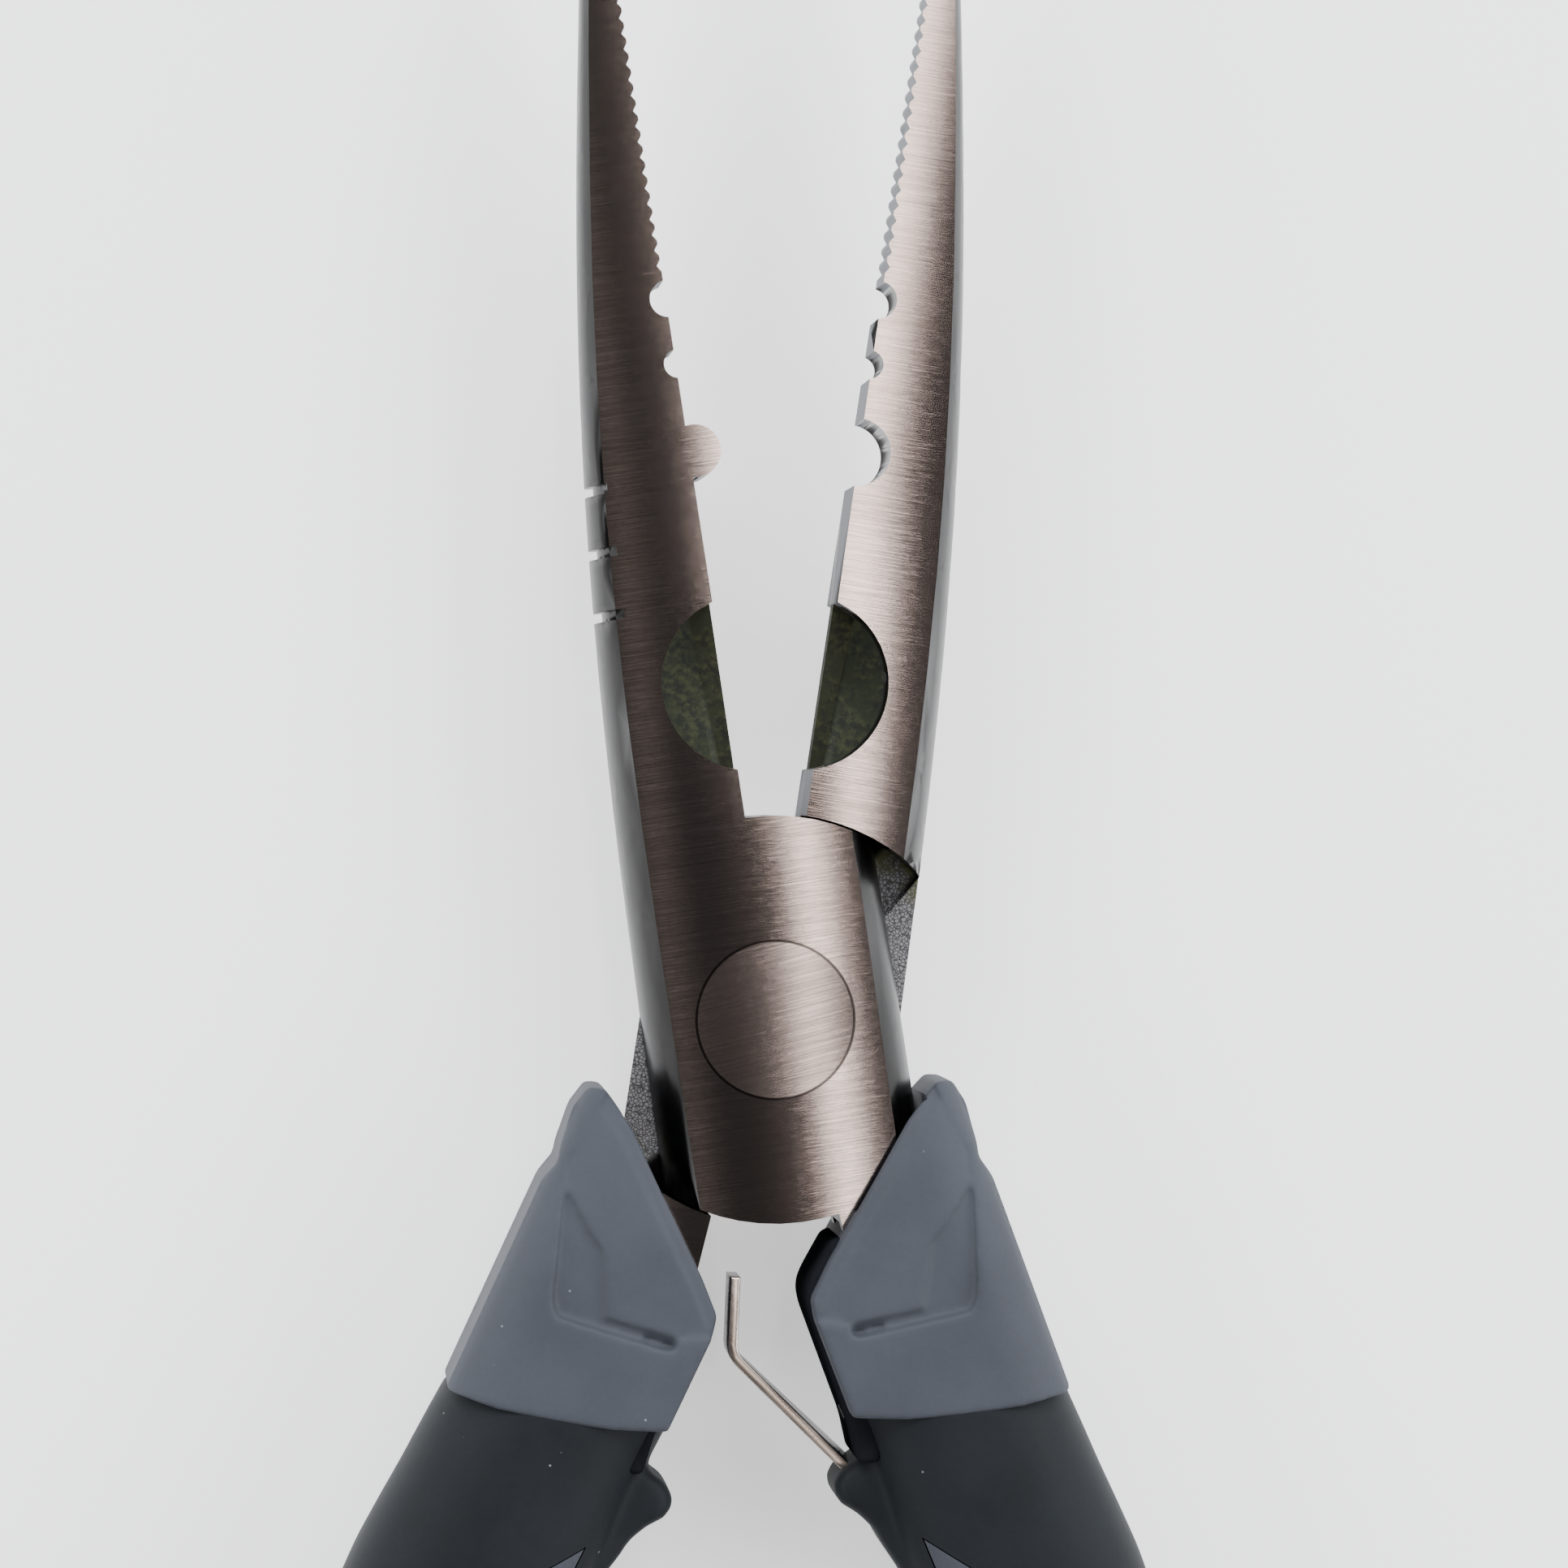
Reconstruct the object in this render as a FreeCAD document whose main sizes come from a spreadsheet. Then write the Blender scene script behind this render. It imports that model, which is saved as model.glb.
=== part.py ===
"""Long-nose pliers with side cutters and an opening leaf spring.

Frame: the pivot runs along Z through the origin, which lies on the flat rear head of the rivet.
The jaws point along +Y and the handles along -Y.  The pliers rest open, each member turned half of
the opening angle from the closed position.  Each member is built in its own closed frame with its
handle on the +X side and its half of the joint in front, then placed.  The rear member is the
front one turned over, with another handle skew and with the notch that takes the crimping lobe.
"""
import FreeCAD
import Part
import math
import os
import re
import Sketcher
from FreeCAD import Placement, Rotation, Vector

SIZES = [
    ("thickness", 10.5, "thickness of the head at the joint"),
    ("half_open", 8.5, "turn of each member from closed to rest, degrees"),
    ("handle_skew", 2.3, "turn of both handles from the jaws' centre line, degrees"),
    ("jaw_gap", 0.03, "half of the gap between the closed gripping faces"),
    ("lap_gap", 0.03, "half of the gap between the two lap faces"),
    ("lap_radius", 14.2, "radius of each half disc of the joint"),
    ("lap_clearance", 0.15, "radial gap around each half disc"),
    ("jaw_length", 80.0, "pivot to jaw tip"),
    ("tip_width", 1.55, "half width of the closed head at the tip"),
    ("tip_thickness", 3.2, "thickness at the tip"),
    ("nose_at", 61.6, "height of the nose section"),
    ("nose_width", 4.6, "half width at the nose section"),
    ("nose_thickness", 5.4, "thickness at the nose section"),
    ("throat_at", 38.9, "height of the throat section"),
    ("throat_width", 7.45, "half width at the throat section"),
    ("throat_thickness", 8.1, "thickness at the throat section"),
    ("cheek_at", 16.0, "height of the cheek section"),
    ("cheek_width", 8.8, "half width at the cheek section"),
    ("cheek_thickness", 10.3, "thickness at the cheek section"),
    ("joint_width", 9.1, "half width of the head at the joint"),
    ("shank_end", 24.0, "depth of the full-thickness shank below the pivot"),
    ("shank_inner", 2.0, "distance of the shank's inner edge from the centre line"),
    ("edge_band_tip", 0.5, "width of the rounded outer band at the tip"),
    ("edge_band_joint", 1.9, "width of the rounded outer band at the joint"),
    ("crown_radius", 85.0, "radius of the crown across the front and rear faces"),
    ("rivet_radius", 5.5, "radius of the rivet's heads"),
    ("rivet_waist", 4.2, "radius of the rivet between its heads"),
    ("rivet_head", 2.4, "thickness of the rivet's rear head"),
    ("rivet_clearance", 0.05, "running gap between the rivet and the rear half"),
    ("cutter_radius", 6.14, "radius of the relief behind the cutting edges"),
    ("cutter_offset", 1.7, "distance of the relief's centre beyond the gripping face"),
    ("cutter_at", 23.5, "height of the cutters"),
    ("cutter_web", 1.1, "half thickness of steel left behind the cutting edge"),
    ("lobe_at", 40.0, "height of the crimping lobe"),
    ("lobe_offset", 0.35, "distance of the lobe's centre beyond the gripping face"),
    ("lobe_radius", 1.85, "radius of the crimping lobe"),
    ("notch_radius", 2.35, "radius of the notch that takes the lobe"),
    ("small_notch_at", 46.2, "height of the small round notch"),
    ("small_notch_radius", 1.0, "radius of the small round notch"),
    ("big_notch_at", 50.8, "height of the large round notch"),
    ("big_notch_radius", 1.3, "radius of the large round notch"),
    ("teeth_from", 52.6, "height of the first tooth"),
    ("tooth_pitch", 1.1, "distance between teeth"),
    ("tooth_depth", 0.28, "depth of the teeth"),
    ("groove_from", 29.5, "height of the lowest outer groove"),
    ("groove_pitch", 4.4, "distance between the outer grooves"),
    ("groove_width", 0.7, "width of an outer groove"),
    ("groove_depth", 0.6, "depth of an outer groove"),
    ("groove_reach", 6.05, "distance of the outer grooves' inner ends from the centre line"),
    ("arc_radius", 222.0, "radius of the handle's centre line"),
    ("bulge_out", 20.6, "distance of the handle's widest point from the centre line"),
    ("bulge_down", 98.0, "depth of the handle's widest point below the pivot"),
    ("tang_width", 7.0, "width of the tang"),
    ("tang_thickness", 6.0, "thickness of the tang"),
    ("tang_end", 112.0, "depth of the tang's end below the pivot"),
    ("core_radius", 5.4, "radius of the hard core around the tang"),
    ("core_top", 24.0, "depth of the core's top below the pivot"),
    ("core_end", 125.0, "depth of the core's end below the pivot"),
    ("collar_top", 6.5, "depth of the collar's ear tip below the pivot"),
    ("collar_ear", 11.7, "distance of the ear tip from the centre line"),
    ("collar_base", 28.7, "depth of the collar's lower edge below the pivot"),
    ("collar_outer", 17.8, "distance of the collar's lower outer corner"),
    ("collar_inner", 1.9, "distance of the collar's lower inner corner"),
    ("collar_thickness", 15.8, "thickness of the collar"),
    ("collar_round", 1.2, "rounding of the collar's edges"),
    ("guard_down", 20.0, "depth of the guard corner below the pivot"),
    ("guard_gap", 0.3, "distance of the guard corner from the centre line"),
    ("collar_clearance", 0.3, "gap from the collar to the other member's half disc"),
    ("grip_width", 15.6, "width of the grip under the collar"),
    ("grip_waist", 14.6, "width of the grip at its waist"),
    ("grip_belly", 16.4, "width of the grip at its belly"),
    ("grip_tail", 14.4, "width of the grip near its end"),
    ("grip_depth", 15.4, "thickness of the grip under the collar"),
    ("belly_depth", 17.0, "thickness of the grip at its belly"),
    ("tail_depth", 15.0, "thickness of the grip near its end"),
    ("grip_end", 131.0, "depth of the grip's end below the pivot"),
    ("inlay_top", 40.0, "depth of the inlay's upper end below the pivot"),
    ("inlay_end", 112.0, "depth of the inlay's lower end below the pivot"),
    ("inlay_inner", 5.0, "reach of the inlay inside the handle's centre line"),
    ("inlay_outer", 5.0, "reach of the inlay outside the handle's centre line"),
    ("inlay_floor", 5.7, "distance of the inlay's floor from the lap plane"),
    ("spring_thickness", 0.7, "thickness of the leaf spring"),
    ("spring_width", 5.0, "width of the leaf spring"),
    ("spring_clearance", 0.35, "gap on each side of the spring in its channel"),
    ("channel_depth", 4.7, "depth of the spring's channel in the front member"),
    ("channel_entry", 0.8, "depth of the spring's channel in the rear member"),
    ("channel_top", 14.6, "depth of the channel's top below the pivot"),
    ("channel_end", 31.6, "depth of the channel's end below the pivot"),
    ("root_x", 5.6, "spring root, across"),
    ("root_y", -31.9, "spring root, along"),
    ("bend_x", -2.9, "spring bend, across"),
    ("bend_y", -23.5, "spring bend, along"),
    ("leaf_x", -2.6, "spring tip, across"),
    ("leaf_y", -18.1, "spring tip, along"),
    ("bend_radius", 1.6, "inside radius of the spring's bend"),
]
NAMES = {name for name, value, note in SIZES}
MEMBERS = {
    "front": {"steel": "front_half", "hand": "right", "skew": "-handle_skew", "turned": 0.0},
    "rear": {"steel": "rear_half", "hand": "left", "skew": "handle_skew", "turned": 180.0},
}
Z_AXIS = Vector(0, 0, 1)

doc = FreeCAD.newDocument("pliers")
sheet = doc.addObject("Spreadsheet::Sheet", "sizes")
for row, (alias, number, note) in enumerate(SIZES, start=1):
    sheet.set(f"A{row}", note)
    sheet.set(f"B{row}", str(number))
    sheet.setAlias(f"B{row}", alias)
doc.recompute()


def formula(text):
    """Write a sum of size names as an expression on the sheet."""
    return re.sub(r"[a-z_]+", lambda word: f"sizes.{word[0]}" if word[0] in NAMES else word[0], text)


def value(text):
    """The number that a sum of size names gives."""
    return float(sheet.evalExpression(formula(text)))


def bind(piece, **sums):
    """Tie properties to the sheet; an underscore pair in a name stands for a dot."""
    for name, text in sums.items():
        piece.setExpression(name.replace("__", "."), formula(text))
    return piece


def place(piece, x="0", y="0", z="0"):
    """Tie a piece's position to the sheet."""
    return bind(piece, Placement__Base__x=x, Placement__Base__y=y, Placement__Base__z=z)


def skewed(piece, skew):
    """Turn a handle piece about the pivot by the member's skew."""
    piece.Placement = Placement(Vector(0, 0, 0), Rotation(Z_AXIS, value(skew)))
    return bind(piece, Placement__Rotation__Angle=skew)


def cylinder(name, radius, height, x="0", y="0", z="0"):
    """An upright cylinder standing on (x, y, z)."""
    piece = bind(doc.addObject("Part::Cylinder", name), Radius=radius, Height=height)
    return place(piece, x, y, z)


def box(name, low, high):
    """A box between two corners, each given as three sums of size names."""
    piece = doc.addObject("Part::Box", name)
    sides = [f"({far}) - ({near})" for near, far in zip(low, high)]
    bind(piece, Length=sides[0], Width=sides[1], Height=sides[2])
    return place(piece, *low)


def cut(name, base, *tools):
    """Take the tools away from the base."""
    piece = doc.addObject("Part::Cut", name)
    piece.Base = base
    piece.Tool = tools[0] if len(tools) == 1 else join(name + "_tools", *tools)
    return piece


def join(name, *pieces):
    """Fuse pieces into one."""
    piece = doc.addObject("Part::MultiFuse", name)
    piece.Shapes = list(pieces)
    return piece


def overlap(name, first, second):
    """Keep what two pieces share."""
    piece = doc.addObject("Part::Common", name)
    piece.Base = first
    piece.Tool = second
    return piece


def outline(name, corners):
    """A closed sketch of straight lines whose corners are tied to the sheet."""
    sketch = doc.addObject("Sketcher::SketchObject", name)
    points = [Vector(value(x), value(y), 0) for x, y in corners]
    count = len(points)
    for index in range(count):
        sketch.addGeometry(Part.LineSegment(points[index], points[(index + 1) % count]))
    for index in range(count):
        sketch.addConstraint(Sketcher.Constraint("Coincident", index, 2, (index + 1) % count, 1))
    for index, (x, y) in enumerate(corners):
        for kind, text, number in (("DistanceX", x, points[index].x), ("DistanceY", y, points[index].y)):
            datum = sketch.addConstraint(Sketcher.Constraint(kind, -1, 1, index, 1, number))
            sketch.setExpression(f"Constraints[{datum}]", formula(text))
    return sketch


def slab(name, corners, height, z="0"):
    """A flat plate of the given outline, standing on height z."""
    sketch = outline(name + "_outline", corners)
    plate = doc.addObject("Part::Extrusion", name)
    plate.Base = sketch
    plate.DirMode = "Custom"
    plate.Dir = Z_AXIS
    plate.Solid = True
    bind(plate, LengthFwd=height)
    return place(plate, z=z)


def head_section(y, half_width, depth, band):
    """One closed section of the head: crowned faces between two rounded outer bands."""
    middle = value("thickness") / 2
    crease = half_width - band
    sag = crease ** 2 / (2 * value("crown_radius"))
    face = depth / 2
    edge = face - sag
    corners = [Vector(crease, y, middle + edge), Vector(crease, y, middle - edge),
               Vector(-crease, y, middle - edge), Vector(-crease, y, middle + edge)]
    tops = [Vector(half_width, y, middle), Vector(0, y, middle - face),
            Vector(-half_width, y, middle), Vector(0, y, middle + face)]
    arcs = [Part.Arc(corners[i], tops[i], corners[(i + 1) % 4]).toShape() for i in range(4)]
    return Part.Wire(arcs)


def head_blank(name, inset=0.0):
    """The closed head as one lens-shaped forging, from below the joint to the tip."""
    stations = [("-shank_end - 2", "joint_width", "thickness"), ("0", "joint_width", "thickness"),
                ("cheek_at", "cheek_width", "cheek_thickness"),
                ("throat_at", "throat_width", "throat_thickness"),
                ("nose_at", "nose_width", "nose_thickness"),
                ("jaw_length", "tip_width", "tip_thickness")]
    wires = []
    for y, half_width, depth in stations:
        climb = max(0.0, value(y)) / value("jaw_length")
        band = value("edge_band_joint") + (value("edge_band_tip") - value("edge_band_joint")) * climb
        wires.append(head_section(value(y), value(half_width) - inset, value(depth) - 2 * inset, band))
    blank = doc.addObject("Part::Feature", name)
    blank.Shape = Part.makeLoft(wires, True, False)
    return blank


def handle_point(depth):
    """The handle's centre line at a depth below the pivot: a point and its lean from upright."""
    lean = math.asin((value("bulge_down") - depth) / value("arc_radius"))
    across = value("bulge_out") - value("arc_radius") * (1 - math.cos(lean))
    return Vector(across, -depth, value("thickness") / 2), lean


def grip_section(depth, width, deep):
    """An oval section square to the handle's centre line."""
    centre, lean = handle_point(depth)
    across = Vector(math.cos(lean), math.sin(lean), 0)
    normal = Vector(-math.sin(lean), math.cos(lean), 0)
    big, small = (width / 2, deep / 2) if width >= deep else (deep / 2, width / 2)
    main = across if width >= deep else Z_AXIS
    oval = Part.Ellipse(centre + main * big, centre + normal.cross(main) * small, centre)
    return Part.Wire([oval.toShape()])


def grip_blank(name):
    """The whole grip with its waist, belly and round end, in the closed handle frame."""
    base, tail = value("collar_base") - 4.0, value("grip_end") - value("grip_tail") / 2
    step = (tail - base) / 5
    shapes = [("grip_width", "grip_depth"), ("grip_waist", "grip_depth"), ("grip_belly", "belly_depth"),
              ("grip_belly", "belly_depth"), ("grip_width", "grip_depth"), ("grip_tail", "tail_depth")]
    wires = [grip_section(base + index * step, value(wide), value(deep))
             for index, (wide, deep) in enumerate(shapes)]
    barrel = Part.makeLoft(wires, True, False)
    centre, lean = handle_point(tail)
    knob = Part.makeSphere(value("grip_tail") / 2, centre)
    blank = doc.addObject("Part::Feature", name + "_barrel")
    blank.Shape = barrel.fuse(knob)
    window = box(name + "_window", ("-bulge_out", "-grip_end - 5", "-thickness"),
                 ("2 * bulge_out", "-collar_base + 0.6", "2 * thickness"))
    return overlap(name, blank, window)


def ring_piece(name, inner, outer, near, far, low, high):
    """A stretch of the flat ring that follows the handle's centre line."""
    centre = ("bulge_out - arc_radius", "-bulge_down")
    wide = cylinder(name + "_outer", f"arc_radius + {outer}", f"({high}) - ({low})", *centre, low)
    thin = cylinder(name + "_inner", f"arc_radius - {inner}", f"({high}) - ({low})", *centre, low)
    ring = cut(name + "_ring", wide, thin)
    window = box(name + "_window", ("0", f"-({far})", low), ("arc_radius", f"-({near})", high))
    return overlap(name, ring, window)


def core_blank(name):
    """The round core that follows the handle's centre line, as a stretch of a torus."""
    ring = bind(doc.addObject("Part::Torus", name + "_torus"), Radius1="arc_radius", Radius2="core_radius")
    place(ring, "bulge_out - arc_radius", "-bulge_down", "thickness / 2")
    window = box(name + "_window", ("0", "-core_end", "-thickness"),
                 ("arc_radius", "-core_top", "2 * thickness"))
    return overlap(name, ring, window)


def collar_blank(name):
    """The slip guard: a plate with a long slanted upper edge, rounded all round its two faces."""
    corners = [("collar_ear", "-collar_top"), ("collar_ear + 1.5", "-collar_top - 4.6"),
               ("collar_outer", "-collar_base + 0.6"), ("collar_inner", "-collar_base - 0.6"),
               ("guard_gap", "-guard_down"), ("collar_ear - 1.9", "-collar_top - 1.2")]
    plate = slab(name + "_plate", corners, "collar_thickness", "(thickness - collar_thickness) / 2")
    doc.recompute()
    middle = value("thickness") / 2
    reach = value("collar_thickness") / 2
    flat = [index for index, edge in enumerate(plate.Shape.Edges, start=1)
            if abs(abs(edge.CenterOfMass.z - middle) - reach) < 0.01]
    rounded = doc.addObject("Part::Fillet", name)
    rounded.Base = plate
    rounded.Edges = [(index, value("collar_round"), value("collar_round")) for index in flat]
    return rounded


def teeth(name):
    """Fine grooves across the gripping face, each a small three-sided bar."""
    count = int((value("jaw_length") - 1.2 - value("teeth_from")) / value("tooth_pitch"))
    bars = []
    for index in range(count):
        foot = f"teeth_from + {index} * tooth_pitch"
        corners = [("-jaw_gap - tooth_depth", f"{foot} + tooth_pitch / 2"),
                   ("0", f"{foot} + 0.1"), ("0", f"{foot} + tooth_pitch - 0.1")]
        bars.append(slab(f"{name}_{index}", corners, "thickness + 2", "-1"))
    return bars


def cutter_relief(name):
    """The round milled reliefs on both faces that leave the cutting edge."""
    spot = ("cutter_offset", "cutter_at")
    depth = "thickness / 2 - cutter_web + 1"
    rear = cylinder(name + "_rear", "cutter_radius", depth, *spot, "-1")
    front = cylinder(name + "_front", "cutter_radius", depth, *spot, "thickness / 2 + cutter_web")
    return [rear, front]


def outer_grooves(name, inner_head):
    """Short grooves of even depth across the rounded outer band of the front jaw."""
    bars = []
    for index in range(3):
        y = f"groove_from + {index} * groove_pitch"
        bars.append(box(f"{name}_{index}", ("-joint_width - 1", f"{y} - groove_width / 2", "-1"),
                        ("-groove_reach", f"{y} + groove_width / 2", "thickness + 1")))
    return cut(name, join(name + "_bars", *bars), inner_head)


def steel_stock(key, blank, skew):
    """A member before its jaw details: jaw, half disc, shank and tang."""
    side = box(key + "_jaw_side", ("-2 * joint_width", "0", "-1"),
               ("-jaw_gap", "jaw_length + 1", "thickness + 1"))
    jaw = overlap(key + "_jaw", blank, side)
    disc = overlap(key + "_disc", blank, cylinder(key + "_disc_round", "lap_radius", "thickness"))
    shank_plate = slab(key + "_shank_plate", [("shank_inner", "-10"), ("joint_width + 1", "-4"),
                       ("joint_width + 1", "-shank_end"), ("shank_inner + 1.4", "-shank_end")], "thickness")
    shank = overlap(key + "_shank", blank, shank_plate)
    well = cylinder(key + "_lap_well", "lap_radius + lap_clearance", "thickness / 2 + lap_gap + 1", z="-1")
    forging = cut(key + "_forging", join(key + "_head", jaw, disc, shank), well)
    tang = ring_piece(key + "_tang", "tang_width / 2", "tang_width / 2", "shank_end - 6", "tang_end",
                      "(thickness - tang_thickness) / 2", "(thickness + tang_thickness) / 2")
    return join(key + "_stock", forging, skewed(tang, skew))


def spring_channel(key, skew, depth):
    """The slot in the middle of a handle's inner edge that the spring folds into."""
    half = "spring_width / 2 + spring_clearance"
    slot = box(key + "_channel", ("-2", "-channel_end", f"thickness / 2 - ({half})"),
               (depth, "-channel_top", f"thickness / 2 + {half}"))
    return skewed(slot, skew)


def finish(piece, label, key):
    """Name a sub-part and put it where its member rests."""
    turned = MEMBERS[key]["turned"]
    lift = value("thickness") if turned else 0.0
    flip = Placement(Vector(0, 0, lift), Rotation(Vector(0, 1, 0), turned))
    opened = value("half_open") if key == "front" else -value("half_open")
    piece.Label = label
    piece.Placement = Placement(Vector(0, 0, 0), Rotation(Z_AXIS, opened)).multiply(flip)
    return piece


def build_steel(key, stock, channel, head):
    """Cut the jaw details and the rivet's seat into a member."""
    tools = cutter_relief(key + "_relief") + teeth(key + "_teeth") + [channel]
    for spot in ("small_notch", "big_notch"):
        tools.append(cylinder(f"{key}_{spot}", f"{spot}_radius", "thickness + 2",
                              "0.15", f"{spot}_at", "-1"))
    if key == "front":
        tools.append(cylinder(key + "_seat", "rivet_radius", "thickness + 2", z="-1"))
        tools.append(outer_grooves(key + "_grooves", head_blank("inner_head", value("groove_depth"))))
        lobe = cylinder(key + "_lobe", "lobe_radius", "thickness + 2", "lobe_offset", "lobe_at", "-1")
        shaped = cut(key + "_cut", stock, *tools)
        return join(key + "_steel", shaped, overlap(key + "_lobe_cut", lobe, head))
    waist = "rivet_waist + rivet_clearance"
    tools.append(cylinder(key + "_bore", waist, "thickness + 2", z="-1"))
    tools.append(cylinder(key + "_seat", "rivet_radius + rivet_clearance",
                          "rivet_head + rivet_clearance + 1", z="thickness - rivet_head - rivet_clearance"))
    tools.append(cylinder(key + "_lobe_notch", "notch_radius", "thickness + 2", "0.1", "lobe_at", "-1"))
    return cut(key + "_steel", stock, *tools)


def build_handle(key, stock, channel, oval, skew):
    """The moulded layers of one handle, outermost cut away from what lies inside."""
    core = skewed(core_blank(key + "_core"), skew)
    guard = skewed(collar_blank(key + "_guard"), skew)
    grip = skewed(oval, skew)
    middle = "thickness / 2"
    inlays = []
    for face, low, high in (("front", f"{middle} + inlay_floor", "thickness + 12"),
                            ("rear", "-12", f"{middle} - inlay_floor")):
        band = ring_piece(f"{key}_{face}_leaf", "inlay_inner", "inlay_outer",
                          "inlay_top", "inlay_end", low, high)
        inlays.append((face, skewed(band, skew)))
    sweep = cylinder(key + "_sweep_round", "lap_radius + collar_clearance", "thickness + 12", z="-6")
    strip = box(key + "_sweep_strip", ("-20", "-20", "-6"),
                ("joint_width + collar_clearance + 0.1", "20", "thickness + 6"))
    sweep = overlap(key + "_sweep", sweep, strip)
    hand = MEMBERS[key]["hand"]
    turned = MEMBERS[key]["turned"]
    leaves = [leaf for face, leaf in inlays]
    pieces = {f"{hand}_core": cut(f"{hand}_core", core, stock, channel),
              f"{hand}_collar": cut(f"{hand}_collar", guard, stock, core, sweep, channel),
              f"{hand}_grip": cut(f"{hand}_grip", grip, core, guard, stock, channel, *leaves)}
    for face, leaf in inlays:
        shown = face if not turned else {"front": "rear", "rear": "front"}[face]
        pieces[f"{hand}_inlay_{shown}"] = overlap(f"{hand}_inlay_{shown}", grip, leaf)
    return pieces


def build_member(key, head):
    """Every sub-part that moves with one member."""
    skew = MEMBERS[key]["skew"]
    depth = "channel_depth" if key == "front" else "channel_entry"
    channel = spring_channel(key, skew, depth)
    stock = steel_stock(key, head, skew)
    pieces = {MEMBERS[key]["steel"]: build_steel(key, stock, channel, head)}
    pieces.update(build_handle(key, stock, channel, grip_blank(key + "_oval"), skew))
    return [finish(piece, label, key) for label, piece in pieces.items()]


def build_rivet(head):
    """The rivet: flat rear head, waist in the rear half, head pressed into the front half."""
    rear = cylinder("rivet_rear_head", "rivet_radius", "rivet_head")
    waist = cylinder("rivet_middle", "rivet_waist", "thickness / 2 + 1")
    front = cylinder("rivet_front_head", "rivet_radius", "thickness / 2", z="thickness / 2")
    rivet = join("rivet", rear, waist, overlap("rivet_crowned", front, head))
    rivet.Label = "pivot_rivet"
    return rivet


def build_spring():
    """The leaf spring: a strip with one rounded bend, standing between the handles at rest."""
    root = Vector(value("root_x"), value("root_y"), 0)
    bend = Vector(value("bend_x"), value("bend_y"), 0)
    tip = Vector(value("leaf_x"), value("leaf_y"), 0)
    body = doc.addObject("PartDesign::Body", "leaf")
    plane = next(item for item in body.Origin.OriginFeatures if item.Role == "XY_Plane")
    sketch = body.newObject("Sketcher::SketchObject", "leaf_outline")
    sketch.AttachmentSupport = [(plane, "")]
    sketch.MapMode = "FlatFace"
    height = (value("thickness") - value("spring_width")) / 2
    sketch.AttachmentOffset = Placement(Vector(0, 0, height), Rotation())
    bind(sketch, AttachmentOffset__Base__z="(thickness - spring_width) / 2")
    half = value("spring_thickness") / 2
    for edge in leaf_edges(root, bend, tip, half):
        sketch.addGeometry(edge)
    strip = body.newObject("PartDesign::Pad", "leaf_strip")
    strip.Profile = sketch
    bind(strip, Length="spring_width")
    body.Tip = strip
    body.Label = "leaf_spring"
    return body


def leaf_edges(root, bend, tip, half):
    """The strip's outline: two straight arms, two arcs about the bend and two rounded ends."""
    first = (bend - root).normalize()
    second = (tip - bend).normalize()
    turn = first.getAngle(second)
    side = 1 if first.cross(second).z > 0 else -1
    middle = value("bend_radius") + half
    setback = middle * math.tan(turn / 2)
    start = bend - first * setback
    stop = bend + second * setback
    left_first = Vector(-first.y, first.x, 0)
    left_second = Vector(-second.y, second.x, 0)
    centre = start + left_first * (side * middle)
    out = (bend - centre).normalize()
    edges = []
    for reach in (half, -half):
        lines = [(root + left_first * reach, start + left_first * reach),
                 (stop + left_second * reach, tip + left_second * reach)]
        crown = centre + out * (middle - side * reach)
        edges.append(Part.LineSegment(*lines[0]))
        edges.append(Part.Arc(lines[0][1], crown, lines[1][0]))
        edges.append(Part.LineSegment(*lines[1]))
    edges.append(Part.Arc(root + left_first * half, root - first * half, root - left_first * half))
    edges.append(Part.Arc(tip + left_second * half, tip + second * half, tip - left_second * half))
    return edges


def check(pieces):
    """Stop if any object failed or any sub-part has no sound shape."""
    failed = [item.Name for item in doc.Objects if {"Invalid", "Error"} & set(item.State)]
    bad = [piece.Label for piece in pieces if piece.Shape.isNull() or not piece.Shape.isValid()]
    if failed or bad:
        raise RuntimeError(f"failed objects {failed}, unsound sub-parts {bad}")


def main():
    """Build every sub-part, check them and write one file for each."""
    head = head_blank("head_blank")
    pieces = build_member("front", head) + build_member("rear", head)
    pieces += [build_rivet(head), build_spring()]
    doc.recompute()
    check(pieces)
    os.makedirs("parts", exist_ok=True)
    for piece in pieces:
        piece.Shape.exportStep(f"parts/{piece.Label}.step")
        box_of = piece.Shape.BoundBox
        print(f"{piece.Label}: {len(piece.Shape.Solids)} solid, {piece.Shape.Volume:.0f} mm3, "
              f"z {box_of.ZMin:.2f} to {box_of.ZMax:.2f}")


main()
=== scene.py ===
# %% [markdown]
# # Long-nose pliers that spring open
#
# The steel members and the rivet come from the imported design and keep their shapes. Here they get
# their brushed finish. The moulded handle layers and the leaf spring are modelled in this lesson.
# Blender works in metres; `MM` turns the millimetres on a drawing into metres. `MID_MM` is the
# height of the plane in which the two members lap, half way up the joint.

# %% Load the frame
import math
import bpy
from mathutils import Matrix, Vector


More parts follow.
